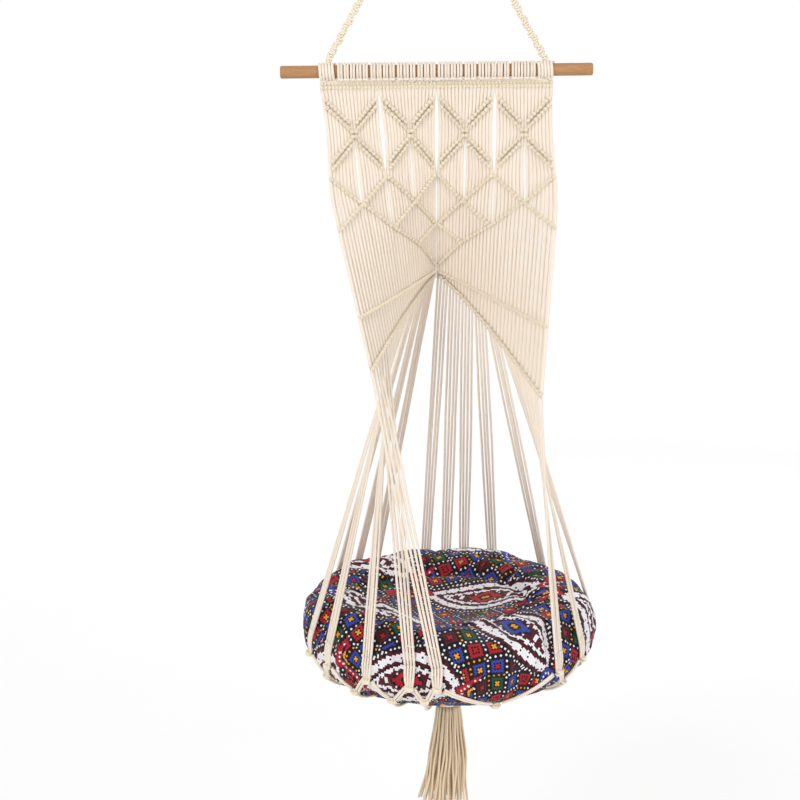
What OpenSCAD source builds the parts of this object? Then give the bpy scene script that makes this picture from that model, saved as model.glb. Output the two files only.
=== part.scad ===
// Hanging cat hammock of knotted cotton cord, with a wooden dowel and a round cushion.
// Origin where a hook bears in the hanging ring, +Z up, the open front of the nest along -Y.

/* [Cord] */
// Diameter of the cotton cord
cord_d = 4; // [3.4:0.1:4.1]
// Clear gap left between neighbouring pieces
gap = 0.3; // [0.2:0.05:0.4]

/* [Hanging ring] */
// Inside diameter of the hanging ring
ring_bore = 30; // [24:1:44]
// Thickness of the ring's wire
ring_wire = 5; // [4:0.5:7]
// Turns of cord that bind the sling under the ring
binding_turns = 3; // [2:1:5]

/* [Hanger] */
// Diameter of the knot where the two hanger cords meet
apex_knot_d = 28; // [24:1:34]
// Height of the apex knot's middle above the dowel's axis
hanger_rise = 290; // [220:5:380]
// Thickness of each knotted hanger cord
hanger_d = 11; // [8:0.5:12]
// Distance of each hanger cord from the middle of the dowel
hitch_x = 157; // [120:1:160]
// Turns of each hanger cord round the dowel
hitch_turns = 5; // [3:1:5]

/* [Dowel] */
// Length of the dowel
dowel_l = 450; // [380:5:600]
// Diameter of the dowel
dowel_d = 18; // [14:0.5:24]

/* [Panel] */
// Width of the knotted panel at the dowel
panel_w = 336; // [328:1:360]
// Thickness of a row of hitches
ridge_d = 5.6; // [4.5:0.1:6]
// Fall from the dowel's axis to the top of the first chevrons
chevron_drop = 38; // [34:1:41]
// Fall of a chevron's arm
chevron_rise = 36; // [30:1:37]
// Fall from one hitch row of a chevron to the next
chevron_step = 11; // [9:0.5:12]
// Fall from the dowel's axis to the top of the diamonds
diamond_drop = 149; // [147:1:154]
// Clear width at the top of the arch
arch_split = 2; // [1:0.5:4]
// How far the panel's edges bow outwards
panel_bow = 13; // [0:1:20]

/* [Arch] */
// Fall from the dowel's axis to the top of the arch
arch_drop = 303; // [300:1:330]
// How far the top of the arch lies behind the dowel
arch_back = 75; // [50:1:95]
// Left foot of the arch: distance to the left of the middle
left_foot_x = 100; // [85:1:115]
// Left foot of the arch: distance in front of the dowel
left_foot_front = 115; // [90:1:125]
// Left foot of the arch: fall from the dowel's axis
left_foot_drop = 416; // [400:1:440]
// Right foot of the arch: distance to the right of the middle
right_foot_x = 149; // [135:1:160]
// Right foot of the arch: distance in front of the dowel
right_foot_front = 95; // [80:1:110]
// Right foot of the arch: fall from the dowel's axis
right_foot_drop = 462; // [445:1:480]
// Share of the arch's fall that its upper hitch row has at the feet
upper_arch_share = 0.42; // [0.35:0.01:0.5]

/* [Cushion] */
// Diameter of the round cushion
cushion_d = 450; // [420:2:480]
// Thickness of the cushion's padded rim
rim_d = 120; // [110:1:130]
// Fall from the dowel's axis to the middle of the rim
cushion_drop = 840; // [780:5:900]
// How far the cushion hangs to the right of the middle
cushion_x = 14; // [0:1:20]
// Depth of the bottom below the middle of the rim
bowl_depth = 70; // [66:1:80]
// Height of the dished seat's lowest point above the middle of the rim
seat_rise = 20; // [5:1:30]
// Thickness of the cushion's cloth cover
cover_t = 2; // [1:0.1:3]

/* [Cradle] */
// Thickness of the knots on the cushion's side
rim_knot_d = 11; // [9:0.5:12]
// Thickness of the knots of the net under the cushion
net_knot_d = 10; // [9:0.5:11]
// How far the knots on the side lie below the middle of the rim, in degrees
rim_knot_angle = 13; // [8:1:18]
// Diameter of the knot that gathers the net
crown_d = 44; // [43:0.5:50]

/* [Tassel] */
// Diameter of the tassel's neck
neck_d = 34; // [28:1:38]
// Turns of cord round the tassel's neck
neck_turns = 4; // [3:1:6]
// Length of the tassel's strands
tassel_l = 172; // [120:2:240]
// How much wider the tassel is at its end than at its neck
tassel_flare = 2.9; // [1.5:0.1:3.5]

/* [Hidden] */
$fn = 32;
cotton = "#efe3c8";
wood = "#c69c6d";
steel = "#c8c8c8";
cloth = "#5b2c33";
fill = "#f4f1ea";

// Counts of the knotting: four units of sixteen cords, tied on in pairs, hung in sixteen bundles
units = 4;
unit_cords = 16;
cords = units * unit_cords;
half = cords / 2;
bundle_cords = 4;
bundles = cords / bundle_cords;
pairs = 30;

// Fall of each row of the diamonds below the row above it
diamond_steps = [0, 39, 36, 27, 38] / 154 * (arch_drop - diamond_drop);
// Where each bundle lies on the cushion, in degrees to the right of the front, left edge first
bundle_angles = [-6, -16, -33, -53, -68, -126, -138, -148,
                 -172, -181, -189, -202, -228, -265, -301, -317];
// Turn of the evenly spread spokes at the crown, in degrees
crown_turn = 4;

// Heights of the hanging pieces
wind_d = cord_d;
wind_pitch = cord_d + 0.5;
bar_z = -ring_bore - ring_wire / 2;
sling_r = ring_wire / 2 + gap + 0.3 + cord_d / 2;
binding_top = bar_z - sling_r - cord_d / 2;
binding_l = binding_turns * wind_pitch + wind_d;
apex_z = binding_top - binding_l - gap - apex_knot_d / 2;
dowel_z = apex_z - hanger_rise;
loop_r = dowel_d / 2 + gap + cord_d / 2;
header_z = dowel_z - loop_r - cord_d / 2 - 2 * gap - ridge_d / 2;
header_step = ridge_d + gap;
cord_top = header_z - header_step - ridge_d / 2 - 2 * gap;
row_lift = cord_d / 2 + ridge_d / 2 + gap;

// Middle of the cushion's rim, and the circle that its cords follow
hub = [cushion_x, 0, dowel_z - cushion_drop];
rim_r = rim_d / 2;
rim_c = cushion_d / 2 - rim_r;
layer = cord_d + gap;
lay_r = rim_r + gap + cord_d / 2;

// Crown under the cushion, and the tassel below it
crown = hub - [0, 0, bowl_depth + gap + crown_d / 2];
neck_top = crown[2] - crown_d / 2 - gap;
neck_l = neck_turns * wind_pitch + wind_d + gap;
head_t = cord_d;
strand_rings = 3;
strand_pitch = (neck_d - cord_d) / 2 / strand_rings;

function lerp(a, b, t) = a + (b - a) * t;
function unit(v) = v / norm(v);
function pad(b) = str(b < 10 ? "0" : "", b);

// Routes of the cords. A place across the panel runs from 0 at its left edge to the count of cords.
function across(c) = c / half - 1;
function cord_start(c) = [across(c) * panel_w / 2, 0, cord_top];
function foot(c) = across(c) < 0
    ? [-left_foot_x, -left_foot_front, dowel_z - left_foot_drop]
    : [right_foot_x, -right_foot_front, dowel_z - right_foot_drop];
function arch_point(c) =
    let (f = foot(c), s = abs(across(c)), depth = across(c) < 0 ? pow(s, 1.3) : pow(s, 1.8))
    let (x = lerp(sign(f[0]) * arch_split / 2, f[0], s))
    [x, lerp(arch_back, f[1], depth), lerp(dowel_z - arch_drop, f[2], pow(s, 1.2))];
function bend_point(c) = lerp(cord_start(c), arch_point(c), 0.4)
    + [panel_bow * across(c) * abs(across(c)), 0, 0];
function cord_at(c, z) =
    let (a = cord_start(c), b = bend_point(c), e = arch_point(c))
    z > b[2] ? lerp(a, b, (a[2] - z) / (a[2] - b[2])) : lerp(b, e, (b[2] - z) / (b[2] - e[2]));
// Direction that faces the front, square to the cords and to the panel's width
function facing(c, z) =
    let (l = across(c) < 0 ? min(c, half - 1) : max(c, half + 1))
    unit(cross([0, 0, -1], cord_at(l + 0.5, z) - cord_at(l - 0.5, z)));

// Points round the cushion's rim: an angle to the right of the front, and one above its middle
function outward(a) = [sin(a), -cos(a), 0];
function sideways(a) = [cos(a), sin(a), 0];
function rim_point(a, up, r, side) = hub + (rim_c + r * cos(up)) * outward(a)
    + side * sideways(a) + [0, 0, r * sin(up)];
// Where a cord from a point above first touches the rim
function touch_angle(p, a, r) =
    let (x = (p - hub) * outward(a) - rim_c, z = p[2] - hub[2])
    atan2(z, x) - acos(r / norm([x, z]));

// Turns of cord about an axis along X or Z, with both ends run straight for a cord's diameter
function turns(n, r, pitch) =
    let (steps = 24 * n, along = [for (i = [0 : steps]) 360 * i / 24])
    let (ring = [for (t = along) [r * cos(t), r * sin(t), pitch * t / 360]])
    concat([ring[0] - [0, wind_d, 0]], ring, [ring[steps] + [0, wind_d, 0]]);
// Least clear distance between turns, measured between points at least half a turn apart
function clear_gap(p) = min([for (i = [0 : len(p) - 13], j = [i + 12 : len(p) - 1])
    norm(p[i] - p[j])]) - wind_d;

// Straight round rod between two points
module rod(a, b, d) {
    v = b - a;
    translate(a)
        rotate([0, acos(v[2] / norm(v)), atan2(v[1], v[0])])
            cylinder(d = d, h = norm(v));
}

// Tube swept along points, with flat ends
module tube(points, d, sides, ref) {
    n = len(points);
    rings = [for (i = [0 : n - 1])
        let (t = unit(points[min(i + 1, n - 1)] - points[max(i - 1, 0)]))
        let (u = unit(cross(t, ref)), v = cross(t, u))
        for (j = [0 : sides - 1])
            points[i] + d / 2 * (cos(360 * j / sides) * u + sin(360 * j / sides) * v)];
    walls = [for (i = [0 : n - 2], j = [0 : sides - 1])
        let (a = i * sides, b = a + sides, k = (j + 1) % sides)
        each [[a + j, b + j, b + k], [a + j, b + k, a + k]]];
    last = (n - 1) * sides;
    ends = [for (j = [1 : sides - 2])
        each [[0, j, j + 1], [last, last + j + 1, last + j]]];
    polyhedron(rings, concat(walls, ends));
}

module hanging_ring() {
    color(steel)
        translate([0, 0, -ring_bore / 2])
            rotate([90, 0, 0])
                rotate_extrude()
                    translate([(ring_bore + ring_wire) / 2, 0])
                        circle(d = ring_wire);
}

// Two loops of cord through the ring, with their legs side by side
module ring_sling() {
    over = [for (t = [0 : 22.5 : 180]) [0, sling_r * cos(t), bar_z + sling_r * sin(t)]];
    leg = [0, 0, binding_top - binding_l - 2 * gap - bar_z];
    color(cotton)
        for (side = [-1, 1])
            translate([side * layer / 2, 0, 0])
                tube(concat([over[0] + leg], over, [over[8] + leg]), cord_d, 6, [1, 0, 0]);
}

module sling_binding() {
    r = norm([layer / 2, sling_r]) + cord_d / 2 + gap + wind_d / 2;
    route = turns(binding_turns, r, wind_pitch);
    echo(sling_binding_clear_gap = clear_gap(route));
    color(cotton)
        translate([0, 0, binding_top - binding_l + wind_d / 2])
            tube(route, wind_d, 6, [0, 0, 1]);
}

module apex_knot() {
    color(cotton)
        translate([0, 0, apex_z])
            sphere(d = apex_knot_d);
}

module hanger(side) {
    top = [0, 0, apex_z];
    end = [side * hitch_x, 0, dowel_z + loop_r + wind_d / 2 + gap];
    way = unit(end - top);
    stop = hanger_d / 2 * norm([way[0], way[1]]) / abs(way[2]);
    color(cotton)
        rod(top + (apex_knot_d / 2 + gap) * way, end - stop * way, hanger_d);
}

module hanger_left() {
    hanger(-1);
}

module hanger_right() {
    hanger(1);
}

module hitch(side) {
    route = turns(hitch_turns, loop_r, wind_pitch);
    echo(hitch_clear_gap = clear_gap(route));
    color(cotton)
        translate([side * hitch_x + hitch_turns * wind_pitch / 2, 0, dowel_z])
            rotate([0, -90, 0])
                tube(route, wind_d, 6, [0, 0, 1]);
}

module hitch_left() {
    hitch(-1);
}

module hitch_right() {
    hitch(1);
}

module dowel() {
    color(wood)
        translate([-dowel_l / 2, 0, dowel_z])
            rotate([0, 90, 0])
                cylinder(d = dowel_d, h = dowel_l);
}

// Each pair of cords goes over the dowel as two loops, open at the bottom where the strands hang
module larks_heads() {
    width = 2 * hitch_x - hitch_turns * wind_pitch - wind_d - cord_d / 2;
    pitch = width / pairs;
    spread = min(layer, pitch - layer);
    mouth = 40;
    color(cotton)
        for (p = [0 : pairs - 1], side = [-0.5, 0.5])
            translate([(p + 0.5) * pitch - width / 2 + side * spread, 0, dowel_z])
                rotate([0, 90, 0])
                    rotate([0, 0, mouth / 2])
                        rotate_extrude(angle = 360 - mouth)
                            translate([loop_r, 0])
                                circle(d = cord_d);
}

module header_row(z) {
    color(cotton)
        rod([-panel_w / 2, 0, z], [panel_w / 2, 0, z], ridge_d);
}

module header_row_upper() {
    header_row(header_z);
}

module header_row_lower() {
    header_row(header_z - header_step);
}

// One unit of the panel's hanging cords, from the header rows down to the arch
module panel_cords(u) {
    color(cotton)
        for (i = [0 : unit_cords - 1]) {
            c = (u - 1) * unit_cords + i + 0.5;
            end = arch_point(c);
            way = unit(end - bend_point(c));
            tube([cord_start(c), bend_point(c), end - gap * 2 * way], cord_d, 6, [1, 0, 0]);
        }
}

// Straight row of hitches from one cord and fall to another, lifted clear of the curved panel.
// A row that falls to the right runs through, the other stops short at its side.
module hitch_row(c0, drop0, c1, drop1) {
    z0 = dowel_z - drop0;
    z1 = dowel_z - drop1;
    a = cord_at(c0, z0);
    b = cord_at(c1, z1);
    face = facing((c0 + c1) / 2, (z0 + z1) / 2);
    stop = (c1 > c0 ? 0.25 : 1.2) * ridge_d * unit(b - a);
    clear = norm(stop) / norm(b - a) - 0.06;
    swell = max([for (c = [floor(min(c0, c1)) + 0.5 : max(c0, c1)])
        let (t = (c - c0) / (c1 - c0))
        if (t > clear && t < 1 - clear) (cord_at(c, lerp(z0, z1, t)) - lerp(a, b, t)) * face]);
    lift = (row_lift + swell) * face;
    rod(a + stop + lift, b - stop + lift, ridge_d);
}

// Two V rows and two inverted V rows of hitches in each unit
module chevron_rows() {
    reach = unit_cords / 2 - 0.8;
    knot = chevron_drop + chevron_rise;
    below = knot + chevron_step + ridge_d + 2;
    color(cotton)
        for (u = [0 : units - 1], step = [0, chevron_step], side = [-reach, reach]) {
            c = (u + 0.5) * unit_cords;
            hitch_row(c + side, chevron_drop + step, c, knot + step);
            hitch_row(c, below + step, c + side, below + chevron_rise + step);
        }
}

// A row that meets the fold in the panel's middle stops a little to its own side
function off_fold(c, other) = c == half ? c + sign(other - c) * 1.6 : c;
function diamond_fall(r) = r == 0 ? diamond_drop : diamond_steps[r] + diamond_fall(r - 1);

// Single rows of hitches that cross as diamonds and close to a point in the middle
module diamond_rows() {
    color(cotton)
        for (r = [0 : 3], u = [0 : units], side = [-1, 1]) {
            from = u * unit_cords + (r % 2) * unit_cords / 2;
            to = from + side * unit_cords / 2;
            narrow = r < 2 ? 0 : r * unit_cords / 2 - 0.1;
            if (min(from, to) >= narrow && max(from, to) <= cords - narrow)
                hitch_row(off_fold(from, to), diamond_fall(r), off_fold(to, from), diamond_fall(r + 1));
        }
}

// Row of hitches along one side of the arch: side is -1 for the left, share is its part of the fall
module arch_row(side, share) {
    route = [for (s = [0.03 : 0.0968 : 1])
        let (c = half * (1 + side * s), low = arch_point(c)[2])
        let (high = lerp(dowel_z - arch_drop, foot(c)[2], share * s) + ridge_d + 1)
        let (z = share < 1 ? high : low)
        cord_at(c, z) + (row_lift + gap) * facing(c, z)];
    color(cotton)
        tube(route, ridge_d, 8, [0, 1, 0]);
}

module arch_left_upper() {
    arch_row(-1, upper_arch_share);
}

module arch_left_lower() {
    arch_row(-1, 1);
}

module arch_right_upper() {
    arch_row(1, upper_arch_share);
}

module arch_right_lower() {
    arch_row(1, 1);
}

// Places of a bundle's four cords: side by side, in the order that they leave the arch
function bundle_top(b, j) = arch_point(b * bundle_cords + j + 0.5);
function bundle_hand(b) =
    sign((bundle_top(b, 3) - bundle_top(b, 0)) * sideways(bundle_angles[b]));
function cord_side(b, j) = bundle_hand(b) * (j - (bundle_cords - 1) / 2) * layer;
function cord_touch(b, j) = touch_angle(bundle_top(b, j), bundle_angles[b], lay_r);
function bundle_end(b, j) = rim_point(bundle_angles[b], cord_touch(b, j), lay_r, cord_side(b, j));

// A flat bundle turns as it falls: its cords' offsets swing from the arch's slope to the rim's
function swing(a, b, t) =
    let (w = acos(unit(a) * unit(b)), turned = sin((1 - t) * w) * unit(a) + sin(t * w) * unit(b))
    lerp(norm(a), norm(b), t) * (w < 1 ? unit(lerp(a, b, t)) : turned / sin(w));
function middle(p) = (p[0] + p[1] + p[2] + p[3]) / 4;
function drop_point(b, j, t) =
    let (top = middle([for (i = [0 : 3]) bundle_top(b, i)]))
    let (end = middle([for (i = [0 : 3]) bundle_end(b, i)]))
    lerp(top, end, t) + swing(bundle_top(b, j) - top, bundle_end(b, j) - end, t);

// Four cords from the arch to where they touch the cushion's rim
module drop_cords(number) {
    b = number - 1;
    color(cotton)
        for (j = [0 : bundle_cords - 1]) {
            run = [for (t = [0 : 0.25 : 1]) drop_point(b, j, t)];
            first = run[0] + 2 * gap * unit(run[1] - run[0]);
            last = run[4] - 2 * gap * unit(run[4] - run[3]);
            tube([first, run[1], run[2], run[3], last], cord_d, 6, sideways(bundle_angles[b]));
        }
}

// A cord bent round the rim's circle, from one height angle down to another
module rim_cord(a, side, r, top, end) {
    translate(hub + rim_c * outward(a) + side * sideways(a))
        rotate([90, 0, a - 90])
            rotate([0, 0, end])
                rotate_extrude(angle = top - end)
                    translate([r, 0])
                        circle(d = cord_d);
}

// The same cords lying on the rim, down to the knots on its side
module cradle_cords() {
    end = -rim_knot_angle + (rim_knot_d / 2 + gap) / rim_r * 180 / PI;
    color(cotton)
        for (b = [0 : bundles - 1], j = [0 : bundle_cords - 1])
            rim_cord(bundle_angles[b], cord_side(b, j), lay_r, cord_touch(b, j), end);
}

// A knot is a short bar across its cords
module knot(a, up, d) {
    middle = rim_point(a, up, rim_r + gap + d / 2, 0);
    across = 2 * layer * sideways(a);
    rod(middle - across, middle + across, d);
}

module rim_knots() {
    color(cotton)
        for (a = bundle_angles)
            knot(a, -rim_knot_angle, rim_knot_d);
}

// The net's knots lie midway between bundles, further under the cushion where the gap is wide
function next_angle(b) = bundle_angles[(b + 1) % bundles] - (b + 1 < bundles ? 0 : 360);
function net_angle(b) = (bundle_angles[b] + next_angle(b)) / 2;
function net_up(b) = -min(60, 24 + 1.2 * (bundle_angles[b] - next_angle(b)));

module net_knots() {
    color(cotton)
        for (b = [0 : bundles - 1])
            knot(net_angle(b), net_up(b), net_knot_d);
}

// Two cords side by side from each rim knot to the net knots on either side of it
module net_branches() {
    color(cotton)
        for (b = [0 : bundles - 1], hand = [-1, 1], side = [-0.5, 0.5])
            net_branch(b, hand < 0 ? bundle_angles[b] : next_angle(b), hand, side * layer);
}

function branch_point(b, a, hand, t) = rim_point(lerp(a, net_angle(b), t),
    lerp(-rim_knot_angle, net_up(b), t), lay_r, lerp(hand, -hand, t) * layer);

module net_branch(b, a, hand, side) {
    fall = (-rim_knot_angle - net_up(b)) * PI / 180 * lay_r;
    t0 = (rim_knot_d / 2 + gap + 0.4 * cord_d) / fall;
    t1 = 1 - (net_knot_d / 2 + gap + 0.4 * cord_d) / fall;
    route = [for (i = [0 : 4])
        let (t = lerp(t0, t1, i / 4), p = branch_point(b, a, hand, t))
        let (way = branch_point(b, a, hand, t + 0.02) - p)
        let (spot = lerp(a, net_angle(b), t), up = lerp(-rim_knot_angle, net_up(b), t))
        let (face = cos(up) * outward(spot) + [0, 0, sin(up)])
        p + side * unit(cross(face, way))];
    tube(route, cord_d, 6, [0, 0, 1]);
}

// Two cords from each net knot, one over the other, under the rim and in to the crown
module net_spokes() {
    under = -80;
    color(cotton)
        for (b = [0 : bundles - 1], deep = [0, 1]) {
            a = net_angle(b);
            r = lay_r + deep * layer;
            rim_cord(a, 0, r, net_up(b) - (net_knot_d / 2 + gap) / rim_r * 180 / PI, under);
            low = rim_point(a, under, r, 0);
            spot = (a + crown_turn - 360 * b / bundles) / 2;
            in = crown + (crown_d / 2 + 2 * gap) * outward(spot) + [0, 0, (0.5 - deep) * layer];
            rod(low + 2 * gap * unit(in - low), in, cord_d);
        }
}

// Half section of the cushion, drawn in by an inset: padded rim, dished seat and bowed bottom.
// The dish and the bottom are arcs that run smoothly into the rim's circle.
module cushion_section(inset) {
    sink = bowl_depth - rim_r;
    bottom_r = (rim_c * rim_c - sink * sink) / (2 * sink) + bowl_depth;
    dish_r = (rim_c * rim_c + seat_rise * seat_rise - rim_r * rim_r) / (2 * (rim_r - seat_rise));
    dish_z = seat_rise + dish_r;
    translate([rim_c, 0])
        circle(r = rim_r - inset, $fn = 64);
    difference() {
        intersection() {
            translate([0, bottom_r - bowl_depth])
                circle(r = bottom_r - inset, $fn = 256);
            polygon([[0, -bowl_depth], [rim_c, -bowl_depth], [rim_c, 0], [0, dish_z]]);
        }
        translate([0, dish_z])
            circle(r = dish_r + inset, $fn = 256);
    }
}

module cushion_cover() {
    color(cloth)
        translate(hub)
            rotate_extrude()
                difference() {
                    cushion_section(0);
                    cushion_section(cover_t);
                }
}

module cushion_filling() {
    color(fill)
        translate(hub)
            rotate_extrude()
                cushion_section(cover_t + gap);
}

module crown_knot() {
    color(cotton)
        translate(crown)
            sphere(d = crown_d);
}

module neck_core() {
    color(cotton)
        translate([crown[0], crown[1], neck_top - neck_l])
            cylinder(d = neck_d, h = neck_l);
}

module neck_binding() {
    route = turns(neck_turns, neck_d / 2 + gap + wind_d / 2, wind_pitch);
    echo(neck_binding_clear_gap = clear_gap(route));
    color(cotton)
        translate([crown[0], crown[1], neck_top - neck_l + wind_d / 2 + gap / 2])
            tube(route, wind_d, 6, [0, 0, 1]);
}

// Strands in rings, spreading downwards from a flat head
module tassel() {
    top = [crown[0], crown[1], neck_top - neck_l - gap];
    color(cotton) {
        translate(top - [0, 0, head_t])
            cylinder(d = neck_d, h = head_t);
        for (ring = [0 : strand_rings], n = [0 : max(1, 6 * ring) - 1]) {
            spot = ring * strand_pitch * outward(n * 60 / max(1, ring));
            rod(top + spot - [0, 0, head_t / 2], top + tassel_flare * spot - [0, 0, tassel_l], cord_d);
        }
    }
}

hanging_ring();
ring_sling();
sling_binding();
apex_knot();
hanger_left();
hanger_right();
hitch_left();
hitch_right();
dowel();
larks_heads();
header_row_upper();
header_row_lower();
for (u = [1 : units])
    panel_cords(u);
chevron_rows();
diamond_rows();
arch_left_upper();
arch_left_lower();
arch_right_upper();
arch_right_lower();
for (b = [1 : bundles])
    drop_cords(b);
cradle_cords();
rim_knots();
net_branches();
net_knots();
net_spokes();
cushion_cover();
cushion_filling();
crown_knot();
neck_core();
neck_binding();
tassel();
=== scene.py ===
import math
import random
from functools import partialmethod

import bpy
import numpy as np
from mathutils import Matrix, Vector


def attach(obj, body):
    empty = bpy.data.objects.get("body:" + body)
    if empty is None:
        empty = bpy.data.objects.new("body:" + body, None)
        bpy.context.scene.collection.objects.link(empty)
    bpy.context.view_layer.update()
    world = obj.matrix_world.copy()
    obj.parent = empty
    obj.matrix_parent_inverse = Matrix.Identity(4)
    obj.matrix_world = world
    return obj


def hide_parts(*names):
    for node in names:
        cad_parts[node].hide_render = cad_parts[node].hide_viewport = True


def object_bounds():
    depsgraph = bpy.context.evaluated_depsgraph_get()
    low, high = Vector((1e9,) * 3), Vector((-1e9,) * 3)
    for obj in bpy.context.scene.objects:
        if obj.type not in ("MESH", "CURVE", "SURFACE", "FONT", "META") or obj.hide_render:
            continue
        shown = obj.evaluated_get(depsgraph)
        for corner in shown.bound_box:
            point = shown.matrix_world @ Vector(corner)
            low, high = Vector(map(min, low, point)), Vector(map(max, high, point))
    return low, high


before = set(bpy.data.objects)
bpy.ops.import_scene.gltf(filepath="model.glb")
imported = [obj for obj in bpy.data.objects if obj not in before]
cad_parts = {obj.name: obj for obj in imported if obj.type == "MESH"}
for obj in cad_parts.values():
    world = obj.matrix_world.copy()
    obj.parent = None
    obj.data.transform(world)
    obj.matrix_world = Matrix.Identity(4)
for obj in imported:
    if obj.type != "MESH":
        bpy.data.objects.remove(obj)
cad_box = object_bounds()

random.seed(7)
rng = np.random.default_rng(7)
scene = bpy.context.scene
scene.view_settings.view_transform = "Standard"

# Sizes of the hammock in millimetres and degrees, as in the part's source
CORD, GAP, TURN_GAP, SLING_SLACK = 4.0, 0.3, 0.5, 0.3
RING_BORE, RING_WIRE = 30.0, 5.0
BINDING_TURNS, APEX_D, HANGER_RISE = 3, 28.0, 290.0
HITCH_X, HITCH_TURNS = 157.0, 5
DOWEL_L, DOWEL_D = 450.0, 18.0
PANEL_W, RIDGE, PAIRS = 336.0, 5.6, 30
CHEVRON_DROP, CHEVRON_RISE, CHEVRON_STEP = 38.0, 36.0, 11.0
DIAMOND_DROP, DIAMOND_STEPS = 149.0, [0, 39, 36, 27, 38]
ARCH_SPLIT, PANEL_BOW, ARCH_DROP, ARCH_BACK = 2.0, 13.0, 303.0, 75.0
LEFT_FOOT, RIGHT_FOOT, UPPER_SHARE = (100.0, 115.0, 416.0), (149.0, 95.0, 462.0), 0.42
LEFT_CURVE, RIGHT_CURVE, HEM_CURVE, BEND_SHARE = 1.3, 1.8, 1.2, 0.4
CUSHION_D, RIM_D, CUSHION_DROP, CUSHION_X = 450.0, 120.0, 840.0, 14.0
BOWL, SEAT = 70.0, 20.0
RIM_KNOT, NET_KNOT, RIM_KNOT_ANGLE = 11.0, 10.0, 13.0
NET_DOWN, NET_SPREAD, NET_LOWEST = 24, 1.2, 60
CROWN_D, CROWN_TURN = 44.0, 4.0
NECK_D, NECK_TURNS, TASSEL_L, FLARE = 34.0, 4, 172.0, 2.9
ANGLES = [-6, -16, -33, -53, -68, -126, -138, -148, -172, -181, -189, -202, -228, -265, -301, -317]
BUNDLES, BUNDLE_CORDS = len(ANGLES), 4
UNITS, UNIT_CORDS = 4, 16
CORDS = BUNDLES * BUNDLE_CORDS
HALF, HALF_UNIT = CORDS // 2, UNIT_CORDS // 2

# Places and radii that follow from them
PITCH = CORD + TURN_GAP
BAR_Z = -RING_BORE - RING_WIRE / 2
SLING_R = RING_WIRE / 2 + GAP + SLING_SLACK + CORD / 2
BINDING_TOP = BAR_Z - SLING_R - CORD / 2
BINDING_L = BINDING_TURNS * PITCH + CORD
APEX_Z = BINDING_TOP - BINDING_L - GAP - APEX_D / 2
DOWEL_Z = APEX_Z - HANGER_RISE
LOOP_R = DOWEL_D / 2 + GAP + CORD / 2
HEADER_Z = DOWEL_Z - LOOP_R - CORD / 2 - 2 * GAP - RIDGE / 2
HEADER_STEP = RIDGE + GAP
CORD_TOP = HEADER_Z - HEADER_STEP - RIDGE / 2 - 2 * GAP
ROW_LIFT = CORD / 2 + RIDGE / 2 + GAP
HUB = np.array([CUSHION_X, 0.0, DOWEL_Z - CUSHION_DROP])
RIM_R = RIM_D / 2
RIM_C = CUSHION_D / 2 - RIM_R
LAYER = CORD + GAP
LAY_R = RIM_R + GAP + CORD / 2
CROWN = HUB - np.array([0, 0, BOWL + GAP + CROWN_D / 2])
NECK_TOP = CROWN[2] - CROWN_D / 2 - GAP
NECK_L = NECK_TURNS * PITCH + CORD + GAP

# Radii of the drawn cords
SINNET_CORE, SINNET_CORD, HITCH_CORD = 2.9, 1.85, 2.2
LOOP_CORD, BIGHT_CORD = 1.88, 1.9
ROW_CORE, ROW_CORD = 1.3, 1.45
PANEL_CORD, DROP_CORD, NET_CORD = 2.1, 1.82, 2.05
NECK_CORD, NECK_WRAP_CORD, STRAND = 2.05, 2.1, 1.75
APEX_CORD, CROWN_CORD, KNOT_CORD, NECK_CORE = 1.9, 2.5, 1.9, 14.0

MM = 0.001
X, Y, Z = np.eye(3)


def lerp(a, b, t):
    return a + (b - a) * t


def unit(v):
    return v / np.linalg.norm(v)


# Routes of the cords. A place across the panel runs from 0 at its left edge to 64.
def across(c):
    return c / HALF - 1


def cord_start(c):
    return np.array([across(c) * PANEL_W / 2, 0, CORD_TOP])


def foot(c):
    """The arch's foot on this half of the panel."""
    f = LEFT_FOOT if across(c) < 0 else RIGHT_FOOT
    return np.array([-f[0] if across(c) < 0 else f[0], -f[1], DOWEL_Z - f[2]])


def arch_point(c):
    """Where a cord leaves the panel, on its arched hem."""
    f, s = foot(c), abs(across(c))
    depth = s ** (LEFT_CURVE if across(c) < 0 else RIGHT_CURVE)
    x = lerp(math.copysign(ARCH_SPLIT / 2, f[0]), f[0], s)
    return np.array([x, lerp(ARCH_BACK, f[1], depth), lerp(DOWEL_Z - ARCH_DROP, f[2], s ** HEM_CURVE)])


def bend_point(c):
    bow = np.array([PANEL_BOW * across(c) * abs(across(c)), 0, 0])
    return lerp(cord_start(c), arch_point(c), BEND_SHARE) + bow


def cord_at(c, z):
    a, b, e = cord_start(c), bend_point(c), arch_point(c)
    if z > b[2]:
        return lerp(a, b, (a[2] - z) / (a[2] - b[2]))
    return lerp(b, e, (b[2] - z) / (b[2] - e[2]))


def facing(c, z):
    """Direction in which the panel's front looks."""
    mid = min(c, HALF - 1) if across(c) < 0 else max(c, HALF + 1)
    return unit(np.cross(-Z, cord_at(mid + 0.5, z) - cord_at(mid - 0.5, z)))


def outward(a):
    return np.array([math.sin(math.radians(a)), -math.cos(math.radians(a)), 0])


def sideways(a):
    return np.array([math.cos(math.radians(a)), math.sin(math.radians(a)), 0])


def rim_point(a, up, r, side=0.0):
    """Place about the cushion's rim, by the angles round it and up its section."""
    u = math.radians(up)
    out = (RIM_C + r * math.cos(u)) * outward(a)
    return HUB + out + side * sideways(a) + np.array([0, 0, r * math.sin(u)])


def touch_angle(p, a, r):
    """Angle up the rim's section at which a straight cord from p first touches it."""
    x, z = float((p - HUB) @ outward(a)) - RIM_C, p[2] - HUB[2]
    return math.degrees(math.atan2(z, x) - math.acos(r / math.hypot(x, z)))


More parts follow.
